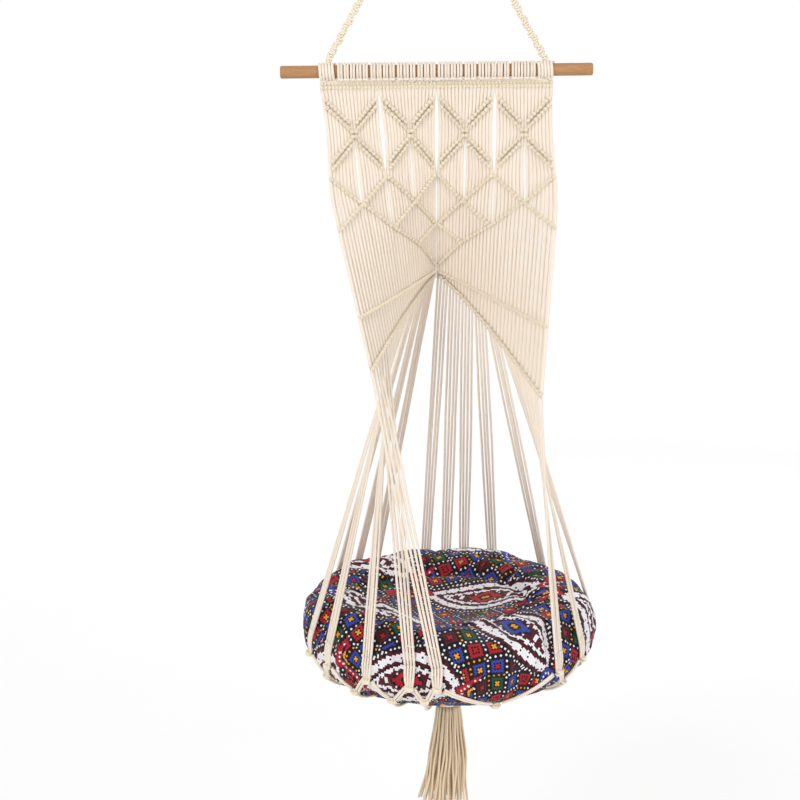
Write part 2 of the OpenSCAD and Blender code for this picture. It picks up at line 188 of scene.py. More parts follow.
def bundle_top(b, j):
    return arch_point(b * BUNDLE_CORDS + j + 0.5)


def cord_side(b, j):
    width = bundle_top(b, BUNDLE_CORDS - 1) - bundle_top(b, 0)
    hand = 1 if width @ sideways(ANGLES[b]) > 0 else -1
    return hand * (j - (BUNDLE_CORDS - 1) / 2) * LAYER


def cord_touch(b, j):
    return touch_angle(bundle_top(b, j), ANGLES[b], LAY_R)


def bundle_end(b, j):
    return rim_point(ANGLES[b], cord_touch(b, j), LAY_R, cord_side(b, j))


def swing(a, b, t):
    """Turns one direction into another, with an even change of length."""
    w = math.acos(max(-1, min(1, float(unit(a) @ unit(b)))))
    length = lerp(np.linalg.norm(a), np.linalg.norm(b), t)
    if math.degrees(w) < 1:
        return length * unit(lerp(a, b, t))
    return length * (math.sin((1 - t) * w) * unit(a) + math.sin(t * w) * unit(b)) / math.sin(w)


def drop_point(b, j, t):
    top = sum(bundle_top(b, i) for i in range(BUNDLE_CORDS)) / BUNDLE_CORDS
    end = sum(bundle_end(b, i) for i in range(BUNDLE_CORDS)) / BUNDLE_CORDS
    return lerp(top, end, t) + swing(bundle_top(b, j) - top, bundle_end(b, j) - end, t)


def next_angle(b):
    return ANGLES[(b + 1) % BUNDLES] - (0 if b + 1 < BUNDLES else 360)


def net_angle(b):
    return (ANGLES[b] + next_angle(b)) / 2


def net_up(b):
    return -min(NET_LOWEST, NET_DOWN + NET_SPREAD * (ANGLES[b] - next_angle(b)))


def net_line(b, hand, t):
    """Angles round and up the rim, from a rim knot to the net knot beside it."""
    start = ANGLES[b] if hand < 0 else next_angle(b)
    return lerp(start, net_angle(b), t), lerp(-RIM_KNOT_ANGLE, net_up(b), t)


# Meshes of cord, with a texture map that runs round and along each tube
class Cords:
    def __init__(self):
        self.verts, self.quads, self.uv, self.caps, self.count = [], [], [], [], 0

    def tube(self, points, r, sides, closed=False, flat=None):
        """Tube along points; flat is a direction along which it is wider, and how many times."""
        p = np.asarray(points, float)
        n = len(p)
        t = np.roll(p, -1, 0) - np.roll(p, 1, 0) if closed else np.gradient(p, axis=0)
        t /= np.linalg.norm(t, axis=1)[:, None]
        u = np.zeros((n, 3))
        u[0] = unit(np.cross(t[0], X if abs(t[0][0]) < 0.8 else Y))
        for i in range(1, n):
            u[i] = unit(u[i - 1] - (u[i - 1] @ t[i]) * t[i])
        w = np.cross(t, u)
        r = np.broadcast_to(np.asarray(r, float), (n,))
        ang = 2 * math.pi * np.arange(sides) / sides
        ring = np.cos(ang)[None, :, None] * u[:, None] + np.sin(ang)[None, :, None] * w[:, None]
        if flat is not None:
            more = np.broadcast_to(np.asarray(flat[1], float), (n,)) - 1
            ring = ring + (ring @ flat[0] * more[:, None])[..., None] * flat[0]
        verts = p[:, None] + r[:, None, None] * ring
        self.verts.append(verts.reshape(-1, 3))
        # Each cord's twist starts at a place of its own, up to 50 mm along
        step = np.linalg.norm(np.roll(p, -1, 0) - p, axis=1)
        along = np.concatenate([[0], np.cumsum(step)]) + random.random() * 50
        rows = n if closed else n - 1
        i, j = np.meshgrid(np.arange(rows), np.arange(sides), indexing="ij")
        i2, j2 = (i + 1) % n, (j + 1) % sides
        base = self.count
        q = np.stack([i * sides + j, i * sides + j2, i2 * sides + j2, i2 * sides + j], -1) + base
        self.quads.append(q.reshape(-1, 4))
        ua, ub = j / sides, (j + 1) / sides
        va, vb = along[i], along[i + 1]
        corners = ((ua, va), (ub, va), (ub, vb), (ua, vb))
        uv = np.stack([np.stack(corner, -1) for corner in corners], 2)
        self.uv.append(uv.reshape(-1, 2))
        if not closed:
            self.caps.append(base + np.arange(sides)[::-1])
            self.caps.append(base + (n - 1) * sides + np.arange(sides))
        self.count += n * sides

    def ring(self, centre, axis, radius, r, lean, points, sides, wide=None, deep=None):
        """Closed loop of cord about an axis, leaning by some degrees, oval where wide and deep are given."""
        axis = unit(axis)
        a = unit(np.cross(axis, Z if abs(axis[2]) < 0.9 else Y)) if wide is None else unit(wide)
        b = np.cross(axis, a)
        ra, rb = (radius, radius) if deep is None else deep
        s = math.tan(math.radians(lean))
        ang = 2 * math.pi * np.arange(points) / points
        pts = [centre + ra * math.cos(q) * a + rb * math.sin(q) * b + s * ra * math.cos(q) * axis
               for q in ang]
        self.tube(pts, r, sides, closed=True)

    def build(self, name, body, nodes, material):
        verts = np.concatenate(self.verts) * MM
        quads = np.concatenate(self.quads)
        uv = np.concatenate(self.uv)
        loops = quads.reshape(-1)
        starts = np.arange(len(quads)) * 4
        totals = np.full(len(quads), 4)
        if self.caps:
            size = np.array([len(c) for c in self.caps])
            starts = np.concatenate([starts, len(loops) + np.cumsum(size) - size])
            totals = np.concatenate([totals, size])
            loops = np.concatenate([loops] + self.caps)
            uv = np.concatenate([uv, np.zeros((int(size.sum()), 2))])
        mesh = bpy.data.meshes.new(name)
        mesh.vertices.add(len(verts))
        mesh.vertices.foreach_set("co", verts.astype(np.float32).reshape(-1))
        mesh.loops.add(len(loops))
        mesh.loops.foreach_set("vertex_index", loops.astype(np.int32))
        mesh.polygons.add(len(starts))
        mesh.polygons.foreach_set("loop_start", starts.astype(np.int32))
        mesh.polygons.foreach_set("use_smooth", totals == 4)
        mesh.update(calc_edges=True)
        layer = mesh.uv_layers.new(name="UVMap")
        layer.data.foreach_set("uv", uv.astype(np.float32).reshape(-1))
        mesh.validate()
        place(name, mesh, body, nodes, material)


def add_object(name, data):
    obj = bpy.data.objects.new(name, data)
    scene.collection.objects.link(obj)
    return obj


def place(name, mesh, body, nodes, material):
    obj = add_object(name, mesh)
    mesh.materials.append(material)
    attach(obj, body)
    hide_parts(*nodes)
    return obj


def distances(p):
    """Distance along a route at each of its points."""
    return np.concatenate([[0], np.cumsum(np.linalg.norm(np.diff(p, axis=0), axis=1))])


def smooth(points, step):
    """Points of a route at an even step, with its corners rounded."""
    p = np.asarray(points, float)
    q = [p[0]]
    for a, b in zip(p[:-1], p[1:]):
        q += [0.75 * a + 0.25 * b, 0.25 * a + 0.75 * b]
    p = np.array(q + [p[-1]])
    d = distances(p)
    n = max(2, int(d[-1] / step) + 1)
    s = np.linspace(0, d[-1], n)
    return np.stack([np.interp(s, d, p[:, k]) for k in range(3)], 1)


def hang(points, amount):
    """Slight unevenness of a hand-tied cord, none at its ends."""
    p = np.array(points)
    t = np.linspace(0, 1, len(p))
    for k in range(2):
        ph = rng.uniform(0, 6.28, 3)
        wave = sum(np.sin((2.0 + 2.3 * m) * math.pi * t + ph[m]) / (1 + m) for m in range(3))
        p[:, k] += amount * wave * np.sin(math.pi * t)
    return p


def turns(n, r, axis, start, first):
    """Winding about an axis through start, tucked in at its ends, which lie on the first side."""
    second = np.cross(axis, first)
    t = np.linspace(0, 2 * math.pi * n, 26 * n + 1)
    sink = np.where((t < 0.5) | (t > t[-1] - 0.5), 0.8, 0.0)
    return [start + (r - k) * (math.cos(q) * first + math.sin(q) * second) + axis * PITCH * q / (2 * math.pi)
            for q, k in zip(t, sink)]


# Materials
class Graph:
    """Small helper that writes arithmetic as shader nodes."""

    def __init__(self, name):
        self.mat = bpy.data.materials.new(name)
        self.mat.use_nodes = True
        self.nodes, self.links = self.mat.node_tree.nodes, self.mat.node_tree.links
        self.shader = self.nodes["Principled BSDF"]

    def node(self, kind, **values):
        n = self.nodes.new(kind)
        for k, v in values.items():
            setattr(n, k, v)
        return n

    def put(self, socket, value):
        if isinstance(value, bpy.types.NodeSocket):
            self.links.new(value, socket)
        else:
            socket.default_value = value

    def math(self, op, a, b=0.0, c=0.0):
        n = self.node("ShaderNodeMath", operation=op)
        for s, v in zip(n.inputs, (a, b, c)):
            self.put(s, v)
        return n.outputs[0]

    add = partialmethod(math, "ADD")
    sub = partialmethod(math, "SUBTRACT")
    mul = partialmethod(math, "MULTIPLY")
    div = partialmethod(math, "DIVIDE")
    mod = partialmethod(math, "FLOORED_MODULO")
    floor = partialmethod(math, "FLOOR")
    fract = partialmethod(math, "FRACT")
    abs = partialmethod(math, "ABSOLUTE")
    low = partialmethod(math, "MINIMUM")
    high = partialmethod(math, "MAXIMUM")
    less = partialmethod(math, "LESS_THAN")
    more = partialmethod(math, "GREATER_THAN")

    def within(self, a, lo, hi):
        return self.mul(self.more(a, lo), self.less(a, hi))

    def flip(self, a):
        return self.sub(1.0, a)

    def mix(self, f, a, b):
        n = self.node("ShaderNodeMix", data_type="RGBA")
        self.put(n.inputs[0], f)
        self.put(n.inputs[6], a)
        self.put(n.inputs[7], b)
        return n.outputs[2]

    def uv(self):
        s = self.node("ShaderNodeSeparateXYZ")
        self.links.new(self.node("ShaderNodeTexCoord").outputs["UV"], s.inputs[0])
        return s.outputs[0], s.outputs[1]

    def place_xyz(self):
        return self.node("ShaderNodeTexCoord").outputs["Object"]

    def noise(self, vector, scale, detail, rough=0.55):
        n = self.node("ShaderNodeTexNoise")
        self.links.new(vector, n.inputs["Vector"])
        for socket, value in (("Scale", scale), ("Detail", detail), ("Roughness", rough)):
            n.inputs[socket].default_value = value
        return n.outputs["Fac"]

    def combine(self, x, y, z):
        n = self.node("ShaderNodeCombineXYZ")
        for s, v in zip(n.inputs, (x, y, z)):
            self.put(s, v)
        return n.outputs[0]

    def bump(self, height, strength, distance):
        n = self.node("ShaderNodeBump")
        self.links.new(height, n.inputs["Height"])
        n.inputs["Strength"].default_value = strength
        n.inputs["Distance"].default_value = distance
        self.links.new(n.outputs[0], self.shader.inputs["Normal"])

    def finish(self, color, rough, **sockets):
        self.put(self.shader.inputs["Base Color"], color)
        self.put(self.shader.inputs["Roughness"], rough)
        for k, v in sockets.items():
            self.shader.inputs[k.replace("_", " ")].default_value = v
        return self.mat


def rgb(h):
    """Colour written as six hexadecimal digits, as linear light."""
    c = [int(h[i:i + 2], 16) / 255 for i in (0, 2, 4)]
    return tuple(x / 12.92 if x <= 0.04045 else ((x + 0.055) / 1.055) ** 2.4 for x in c) + (1.0,)


def cotton(name, light, mid, groove_shade_color, lay=11.0, plies=3.0, groove_shade_amount=0.5):
    """Twisted cotton cord: plies wind round it, with fine fibres, uneven cream and painted shade in the
    grooves between the plies.
    """
    g = Graph(name)
    u, v = g.uv()
    turn = g.add(g.mul(u, plies), g.mul(v, plies / lay))
    ply = g.abs(g.sub(g.fract(turn), 0.5))
    valley = g.math("POWER", g.mul(ply, 2.0), 3.0)
    fibre = g.noise(g.combine(g.mul(turn, 5.0), g.mul(v, 0.35), 0.0), 1.6, 4.0, 0.7)
    patch = g.noise(g.place_xyz(), 34.0, 3.0)
    # Painted shade: the ply valleys darken towards the shade colour, standing in for shade in the grooves
    # between plies; the fibre noise is the cord's own uneven tone.
    groove_shade_and_fibre = g.add(g.mul(valley, groove_shade_amount), g.mul(g.sub(fibre, 0.5), 0.55))
    color = g.mix(g.math("SMOOTH_MAX", groove_shade_and_fibre, 0.0, 0.1), g.mix(patch, light, mid), groove_shade_color)
    g.bump(g.add(g.mul(g.flip(valley), 1.0), g.mul(fibre, 0.35)), 0.75, 0.0006)
    rough = g.add(0.78, g.mul(fibre, 0.18))
    return g.finish(color, rough, Sheen_Weight=0.25, Sheen_Roughness=0.5, Specular_IOR_Level=0.25)


# The third colour of each cord is painted shade, laid into the grooves between its plies.
cord_mat = cotton("cotton_cord", rgb("f7ecdf"), rgb("f1e3d2"), rgb("c9b396"))
knot_mat = cotton("cotton_knots", rgb("f8eedb"), rgb("f1e4cc"), rgb("bfa67c"), lay=8.0)
tassel_mat = cotton("cotton_tassel", rgb("f6e4c8"), rgb("ead2ad"), rgb("8f6840"), lay=9.0, groove_shade_amount=0.55)


def wood():
    """Oiled wood with its grain along the dowel."""
    g = Graph("dowel_wood")
    s = g.node("ShaderNodeSeparateXYZ")
    g.links.new(g.place_xyz(), s.inputs[0])
    x, y, z = s.outputs
    wide = g.noise(g.combine(g.mul(x, 5.0), g.mul(y, 60.0), g.mul(z, 60.0)), 3.0, 5.0, 0.6)
    fine = g.noise(g.combine(g.mul(x, 12.0), g.mul(y, 420.0), g.mul(z, 420.0)), 3.0, 4.0, 0.65)
    vein = g.fract(g.mul(wide, 7.0))
    color = g.mix(wide, rgb("c19468"), rgb("a5764b"))
    color = g.mix(g.mul(vein, 0.4), color, rgb("8b6038"))
    color = g.mix(g.mul(g.more(fine, 0.6), 0.35), color, rgb("7a522c"))
    g.bump(g.add(fine, g.mul(vein, 0.3)), 0.35, 0.0003)
    return g.finish(color, g.add(0.45, g.mul(fine, 0.25)), Specular_IOR_Level=0.4)


def steel():
    g = Graph("ring_steel")
    fine = g.noise(g.place_xyz(), 900.0, 3.0)
    cloud = g.noise(g.place_xyz(), 90.0, 2.0)
    g.bump(fine, 0.15, 0.0001)
    color = g.mix(cloud, rgb("c9c9c6"), rgb("b2b2ae"))
    return g.finish(color, g.add(0.24, g.mul(fine, 0.16)), Metallic=1.0)


# Cross-stitch cloth. Its sizes are in stitches, and CELL is one stitch in millimetres.
CELL = 2.9
LATTICE = 14.0
LEAF_W, LEAF_H, LEAF_LEAN = 78.0, 56.0, 0.22
LEAF_HALF_W, LEAF_HALF_H = 34.0, 16.5
WHITE, MAROON, BLACK = rgb("e9e6ea"), rgb("4e141d"), rgb("150f14")
BLUE, RED, GOLD, GREEN = rgb("33429a"), rgb("a81b29"), rgb("dd9a2a"), rgb("204d33")


def layered(g, color, layers):
    """Paints each colour in turn where its mask is 1."""
    for mask, hue in layers:
        color = g.mix(mask, color, hue)
    return color


def lattice(g, px, py):
    """Diamonds between slanting dotted lines."""
    p, q = g.add(px, py), g.sub(px, py)
    mp, mq = g.mod(p, LATTICE), g.mod(q, LATTICE)
    m = g.high(g.abs(g.sub(mp, LATTICE / 2)), g.abs(g.sub(mq, LATTICE / 2)))
    tile_p, tile_q = g.floor(g.div(p, LATTICE)), g.floor(g.div(q, LATTICE))
    pick = g.mod(g.add(g.mul(tile_p, 3.0), g.mul(tile_q, 5.0)), 7.0)
    hue = layered(g, g.mix(g.less(pick, 2.5), RED, BLUE), (
        (g.within(pick, 2.5, 3.5), GREEN),
        (g.within(pick, 4.5, 5.5), MAROON)))
    dots = g.mul(g.less(g.low(mp, mq), 0.9), g.mod(px, 2.0))
    return layered(g, g.mix(g.less(m, 4.4), BLACK, hue), (
        (g.less(m, 2.2), BLACK),
        (g.less(m, 1.2), g.mix(g.within(pick, 0.5, 4.5), RED, GOLD)),
        (dots, g.mix(g.within(pick, 1.5, 3.5), WHITE, GOLD))))


def leaves(g, px, py, color):
    """Leaves with toothed edges, leaning the other way in each next row, and stepped blocks at their tips."""
    odd = g.mod(g.floor(g.div(py, LEAF_H)), 2.0)
    accent = g.mix(odd, BLUE, RED)
    x = g.sub(g.mod(g.add(px, g.mul(odd, LEAF_W / 2)), LEAF_W), LEAF_W / 2 - 0.5)
    lean = g.mul(g.sub(g.mul(odd, 2.0), 1.0), LEAF_LEAN)
    y = g.add(g.sub(g.mod(py, LEAF_H), LEAF_H / 2 - 0.5), g.floor(g.mul(x, lean)))
    ax, ay = g.abs(x), g.abs(y)
    part = g.div(ax, LEAF_HALF_W)
    inside = g.sub(g.mul(g.flip(g.mul(part, part)), LEAF_HALF_H), ay)
    toothed = g.sub(inside, g.floor(g.mul(g.mod(px, 4.0), 0.5)))
    heart = g.add(g.mul(ax, 0.7), ay)
    block = g.add(g.sub(LEAF_W / 2, ax), g.mul(ay, 0.9))
    return layered(g, color, (
        (g.more(inside, -4.0), BLACK),
        (g.mul(g.within(inside, -3.0, -1.8), g.mod(px, 2.0)), WHITE),
        (g.more(toothed, -1.0), MAROON),
        (g.more(inside, 1.2), WHITE),
        (g.mul(g.within(inside, 3.0, 4.1), g.less(g.mod(px, 6.0), 0.5)), BLACK),
        (g.more(inside, 5.6), MAROON),
        (g.more(inside, 7.2), BLACK),
        (g.more(inside, 8.4), WHITE),
        (g.more(toothed, 9.8), MAROON),
        (g.mul(g.more(inside, 12.2), g.less(g.mod(ax, 6.0), 2.5)), WHITE),
        (g.less(heart, 7.8), BLACK),
        (g.less(heart, 6.6), accent),
        (g.less(heart, 3.6), BLACK),
        (g.less(heart, 1.8), GOLD),
        (g.less(block, 11.2), BLACK),
        (g.less(block, 10.0), accent),
        (g.mul(g.within(block, 6.6, 7.8), g.mod(py, 2.0)), WHITE),
        (g.less(block, 5.6), BLACK),
        (g.less(block, 3.4), GOLD),
        (g.less(block, 1.6), MAROON)))


def stitched():
    """Folk cross-stitch cloth, where each cell is a small raised cross on woven cloth."""
    g = Graph("cushion_cloth")
    u, v = g.uv()
    px, py = g.floor(u), g.floor(v)
    color = leaves(g, px, py, lattice(g, px, py))
    fu, fv = g.sub(g.fract(u), 0.5), g.sub(g.fract(v), 0.5)
    edge = g.high(g.abs(fu), g.abs(fv))
    cross = g.low(g.abs(g.sub(fu, fv)), g.abs(g.add(fu, fv)))
    thread = g.less(cross, 0.2)
    fuzz = g.noise(g.place_xyz(), 420.0, 3.0)
    wash = g.noise(g.place_xyz(), 18.0, 2.0)
    color = g.mix(g.mul(g.more(edge, 0.43), 0.22), color, BLACK)
    tint = g.node("ShaderNodeHueSaturation")
    g.links.new(color, tint.inputs["Color"])
    g.links.new(g.add(0.8, g.add(g.mul(fuzz, 0.22), g.mul(wash, 0.18))), tint.inputs["Value"])
    g.bump(g.add(g.add(g.mul(thread, 0.5), g.mul(g.flip(edge), 1.0)), g.mul(fuzz, 0.5)), 0.5, 0.0005)
    rough = g.add(0.72, g.mul(fuzz, 0.2))
    return g.finish(tint.outputs[0], rough, Sheen_Weight=0.1, Specular_IOR_Level=0.2)


# Ring at the top keeps its solid
ring_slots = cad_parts["hanging_ring"].data.materials
ring_slots.clear()
ring_slots.append(steel())

# Sling through the ring, with its binding
cords = Cords()
for side in (-1, 1):
    arc = [np.array([side * LAYER / 2, SLING_R * math.cos(q), BAR_Z + SLING_R * math.sin(q)])
           for q in np.linspace(0, math.pi, 17)]
    leg = np.array([0, 0, BINDING_TOP - BINDING_L - 2 * GAP - BAR_Z])
    cords.tube(smooth([arc[0] + leg] + arc + [arc[-1] + leg], 2.0), CORD / 2, 9)
cords.build("sling_loops", "sling", ["ring_sling"], cord_mat)
cords = Cords()
binding_r = math.hypot(LAYER / 2, SLING_R) + CORD + GAP
binding_end = np.array([0, 0, BINDING_TOP - BINDING_L + CORD / 2])
cords.tube(turns(BINDING_TURNS, binding_r, Z, binding_end, Y), CORD / 2, 9)
cords.build("sling_wrap", "sling", ["sling_binding"], cord_mat)


def ball(cords, centre, radius, r, leads=3, bights=5, points=270):
    """Turk's head knot with two cords side by side, on a round core."""
    q = np.arange(points) * 2 * leads * math.pi / points
    for side in (-1, 1):
        lat = np.radians(60) * np.sin(bights / leads * q)
        lon = q + side * 1.05 * r / (0.8 * radius)
        lift = radius - r - 0.45 * r * (1 - np.sin(2 * bights / leads * q))
        way = np.stack([np.cos(lat) * np.cos(lon), np.cos(lat) * np.sin(lon), np.sin(lat)], 1)
        cords.tube(way * lift[:, None] + centre, r, 8, closed=True)
    core = np.linspace(-0.95, 0.95, 21)
    core_r = radius - 2 * r
    cords.tube([centre + Z * core_r * c for c in core], [core_r * math.sqrt(1 - c * c) for c in core], 24)


# Apex knot
cords = Cords()
ball(cords, np.array([0, 0, APEX_Z]), APEX_D / 2, APEX_CORD)
cords.build("apex_knot_cords", "sling", ["apex_knot"], knot_mat)

# Hangers: sinnets of square knots on two core cords, and their windings on the dowel
SINNET_STEP, SINNET_LEAN = 3.9, 17
for name, side in (("left", -1), ("right", 1)):
    top = np.array([0, 0, APEX_Z])
    end = np.array([side * HITCH_X, 0, DOWEL_Z + LOOP_R + CORD / 2 + GAP])
    way = unit(end - top)
    start = top + (APEX_D / 2 - 2) * way
    cords = Cords()
    cords.tube([lerp(start, end, t) for t in np.linspace(0, 1, 40)], SINNET_CORE, 8)
    count = int(np.linalg.norm(end - start) / SINNET_STEP)
    across_way = np.array([way[2], 0, -way[0]])
    for i in range(count):
        t = (i + 0.5) / count
        hand = 1 if (i // 2) % 2 else -1
        bulge = 0.45 * math.sin(2 * math.pi * i / 6.0)
        wander = 0.9 * math.sin(i * 0.9) * across_way + 0.5 * math.cos(i * 0.7) * Y
        centre = lerp(start, end, t) + 0.55 * hand * across_way + wander * 0.5
        cords.ring(centre, way, 0, SINNET_CORD, hand * SINNET_LEAN, 16, 7,
                   wide=across_way, deep=(3.45 + bulge, 3.1 + bulge))
    cords.build("hanger_sinnet_" + name, "hanger", ["hanger_" + name], knot_mat)
    cords = Cords()
    first = np.array([side * HITCH_X - HITCH_TURNS * PITCH / 2, 0, DOWEL_Z])
    cords.tube(turns(HITCH_TURNS, LOOP_R, X, first, Z), HITCH_CORD, 9)
    cords.build("hitch_wrap_" + name, "hanger", ["hitch_" + name], cord_mat)

# Dowel: distances from its end and radii where the end is eased
EASED = ((0.0, 0.5), (0.05, 7.4), (0.5, 8.4), (1.4, 8.9), (3.0, DOWEL_D / 2))
prof = [(x - DOWEL_L / 2, r) for x, r in EASED]
prof += [(x, DOWEL_D / 2) for x in np.linspace(15 - DOWEL_L / 2, DOWEL_L / 2 - 15, 43)]
prof += [(-x, r) for x, r in prof[len(EASED) - 1::-1]]
cords = Cords()
cords.tube([np.array([x, 0, DOWEL_Z]) for x, _ in prof], [r for _, r in prof], 40)
cords.build("dowel_rod", "hanger", ["dowel"], wood())


def on_dowel(x, r, q):
    return np.array([x, r * math.cos(q), DOWEL_Z + r * math.sin(q)])


# Lark's heads: two loops over the dowel, a bight across their front, and two legs down to the header
WIDE_GAPS = (4, 8, 11, 14, 18, 20, 25)
LOOP_START, LOOP_END = math.radians(-70), math.radians(250)
cords = Cords()
width = 2 * HITCH_X - HITCH_TURNS * PITCH - CORD - CORD / 2
narrow_gaps = 0.8 + 0.3 * rng.standard_normal(PAIRS - 1)
room = np.where(np.isin(np.arange(PAIRS - 1), WIDE_GAPS), 4.0, narrow_gaps)
room *= (width - PAIRS * 2 * LAYER) / room.sum()
mids = LAYER - width / 2 + np.concatenate([[0], np.cumsum(room + 2 * LAYER)])
for mid in mids:
    spread = 2.12 + 0.05 * rng.standard_normal()
    for side in (-1, 1):
        lean = rng.normal(0.35, 0.2)
        loop = [on_dowel(mid + side * spread + lean * math.cos(q), LOOP_R, q)
                for q in np.linspace(LOOP_START, LOOP_END, 28)]
        cords.tube(loop, LOOP_CORD, 8)
    bight = []
    for t in np.linspace(-1, 1, 15):
        r = LOOP_R + 2.2 * (1 - t ** 4)
        bight.append(on_dowel(mid + t * (spread + 1.5), r, math.radians(238 + 10 * t * t)))
    cords.tube(bight, BIGHT_CORD, 8)
    for side in (-1, 1):
        start = on_dowel(mid + side * spread, LOOP_R, LOOP_END)
        end = np.array([(mid + side * spread) * PANEL_W / (width + 8), 0, HEADER_Z + 1.0])
        cords.tube([lerp(start, end, t) for t in np.linspace(0, 1, 5)], BIGHT_CORD, 7)
cords.build("larks_head_loops", "basket", ["larks_heads"], cord_mat)


def hitched(cords, points, count, lean, r_in=1.75):
    """Row of double half hitches: two slanting wraps for each cord, round a core cord."""
    p = np.asarray(points, float)
    d = distances(p)

    def at(q):
        return np.array([np.interp(q, d, p[:, k]) for k in range(3)])

    cords.tube(smooth(p, 5.0), ROW_CORE, 6)
    for q in (np.arange(count) + np.where(np.arange(count) % 2, 0.34, 0.66)) / count * d[-1]:
        way = at(min(q + 1, d[-1])) - at(max(q - 1, 0))
        big = 1 + 0.05 * rng.standard_normal()
        cords.ring(at(q), way, r_in * big, ROW_CORD * big, lean + rng.normal(0, 3), 12, 6)


# Header: two rows of hitches, with a cord behind the join
for kind, z, lean in (("upper", HEADER_Z, -18), ("lower", HEADER_Z - HEADER_STEP, 18)):
    cords = Cords()
    hitched(cords, [np.array([-PANEL_W / 2, 0, z]), np.array([PANEL_W / 2, 0, z])], 2 * CORDS, lean)
    if kind == "lower":
        join = HEADER_Z - HEADER_STEP / 2
        band = [np.array([x, 1.4, join]) for x in np.linspace(-PANEL_W / 2, PANEL_W / 2, 50)]
        cords.tube(band, BIGHT_CORD, 8)
    cords.build("header_hitches_" + kind, "basket", ["header_row_" + kind], knot_mat)

# How far cords draw in beside a slit, and the drops below the dowel between which it is open
UNIT_SLIT = (3.1, 30, DIAMOND_DROP - 2)
KNOT_SLIT = (1.7, 100, 192)
DIAMOND_SLIT = (1.1, DIAMOND_DROP + 2, 226)


def hump(drop, lo, hi):
    return max(0.0, math.sin(math.pi * min(1, max(0, (drop - lo) / (hi - lo))))) ** 0.6


def parted(c, line, slit, drop):
    """Move of a cord away from the line on which a slit opens."""
    amount, lo, hi = slit
    return math.copysign(amount * max(0, 1 - abs(c - line) / HALF_UNIT), c - line) * hump(drop, lo, hi)


def slit(c, z):
    """Cords draw in to the rows that hold them, which opens slits between and under the chevrons."""
    drop = DOWEL_Z - z
    middle = (math.floor(c / UNIT_CORDS) + 0.5) * UNIT_CORDS
    edge = round(c / UNIT_CORDS) * UNIT_CORDS
    move = -(c - middle) / HALF_UNIT * UNIT_SLIT[0] * hump(drop, *UNIT_SLIT[1:])
    move += parted(c, middle, KNOT_SLIT, drop)
    if HALF_UNIT < c < CORDS - HALF_UNIT:
        move += parted(c, edge, DIAMOND_SLIT, drop)
    return np.array([move, 0, 0])


# Panel cords, one piece for each unit of sixteen, wider towards the hem on the right
for unit_no in range(UNITS):
    cords = Cords()
    for i in range(UNIT_CORDS):
        c = unit_no * UNIT_CORDS + i + 0.5
        zs = np.linspace(CORD_TOP + 1.5, arch_point(c)[2], 44)
        pts = [cord_at(c, z) + slit(c, z) + 0.25 * rng.standard_normal() * Y for z in zs]
        pts = smooth(hang(pts, 0.2), 8.0)
        wide = np.linspace(1.24, 1.24 + 0.36 * max(0, across(c)), len(pts))
        flat_way = unit(np.cross(facing(c, bend_point(c)[2]), Z))
        cords.tube(pts, PANEL_CORD, 8, flat=(flat_way, wide))
    cords.build("panel_unit_%d" % (unit_no + 1), "basket", ["panel_cords_%d" % (unit_no + 1)], cord_mat)

ROW_LEAN, ROW_PRESS, ARCH_PRESS = 24, 1.6, 1.4


def row_points(c0, d0, c1, d1):
    """A row of hitches over the panel's face, close on its cords."""
    out = []
    for t in np.linspace(0, 1, 13):
        c, z = lerp(c0, c1, t), DOWEL_Z - lerp(d0, d1, t)
        out.append(cord_at(c, z) + slit(c, z) + (ROW_LIFT - ROW_PRESS) * facing(c, z))
    return out


# Chevrons: two rows of hitches fall to the middle of each unit, and two fall from there to its edges
reach = HALF_UNIT - 0.6
knot = CHEVRON_DROP + CHEVRON_RISE
below = knot + CHEVRON_STEP + RIDGE + 2
tuck = 2.4
cords = Cords()
for u in range(UNITS):
    c = (u + 0.5) * UNIT_CORDS
    for step in (0, CHEVRON_STEP):
        for side in (-reach, reach):
            lean = math.copysign(ROW_LEAN, side)
            inner = math.copysign(0.8, side)
            end = knot + step + tuck if step else knot
            to_middle = row_points(c + side, CHEVRON_DROP + step, c + (0.1 if step else 1) * inner, end)
            hitched(cords, to_middle, UNIT_CORDS, lean)
            start, end = below + step if step else below - tuck, below + CHEVRON_RISE + step
            to_edge = row_points(c + (1 if step else 0.1) * inner, start, c + side, end)
            hitched(cords, to_edge, UNIT_CORDS, -lean)
cords.build("chevron_hitches", "basket", ["chevron_rows"], knot_mat)


def diamond_fall(r):
    return DIAMOND_DROP + sum(DIAMOND_STEPS[1:r + 1])


def off_fold(c, other):
    return c + math.copysign(0.4, other - c) if c == HALF else c


# Diamonds: four steps of slanting rows, the last two on fewer cords
cords = Cords()
for r in range(len(DIAMOND_STEPS) - 1):
    for u in range(UNITS + 1):
        for side in (-1, 1):
            a = u * UNIT_CORDS + (r % 2) * HALF_UNIT
            b = a + side * HALF_UNIT
            narrow = 0 if r < 2 else r * HALF_UNIT - 0.1
            if min(a, b) >= narrow and max(a, b) <= CORDS - narrow:
                row = row_points(off_fold(a, b), diamond_fall(r), off_fold(b, a), diamond_fall(r + 1))
                hitched(cords, row, UNIT_CORDS + 1, -ROW_LEAN * side)
cords.build("diamond_hitches", "basket", ["diamond_rows"], knot_mat)

# Hitch rows along the arch
for name, side in (("left", -1), ("right", 1)):
    for kind, share in (("upper", UPPER_SHARE), ("lower", 1.0)):
        pts = []
        for q in np.linspace(0.03, 0.998, 30):
            c = HALF * (1 + side * q)
            upper = lerp(DOWEL_Z - ARCH_DROP, foot(c)[2], share * q) + RIDGE + 1
            z = upper if share < 1 else arch_point(c)[2]
            pts.append(cord_at(c, z) + (ROW_LIFT - ARCH_PRESS) * facing(c, z))
        cords = Cords()
        hitched(cords, pts, 2 * HALF, -ROW_LEAN * side, r_in=1.7)
        cords.build("arch_hitches_%s_%s" % (name, kind), "basket", ["arch_%s_%s" % (name, kind)], knot_mat)

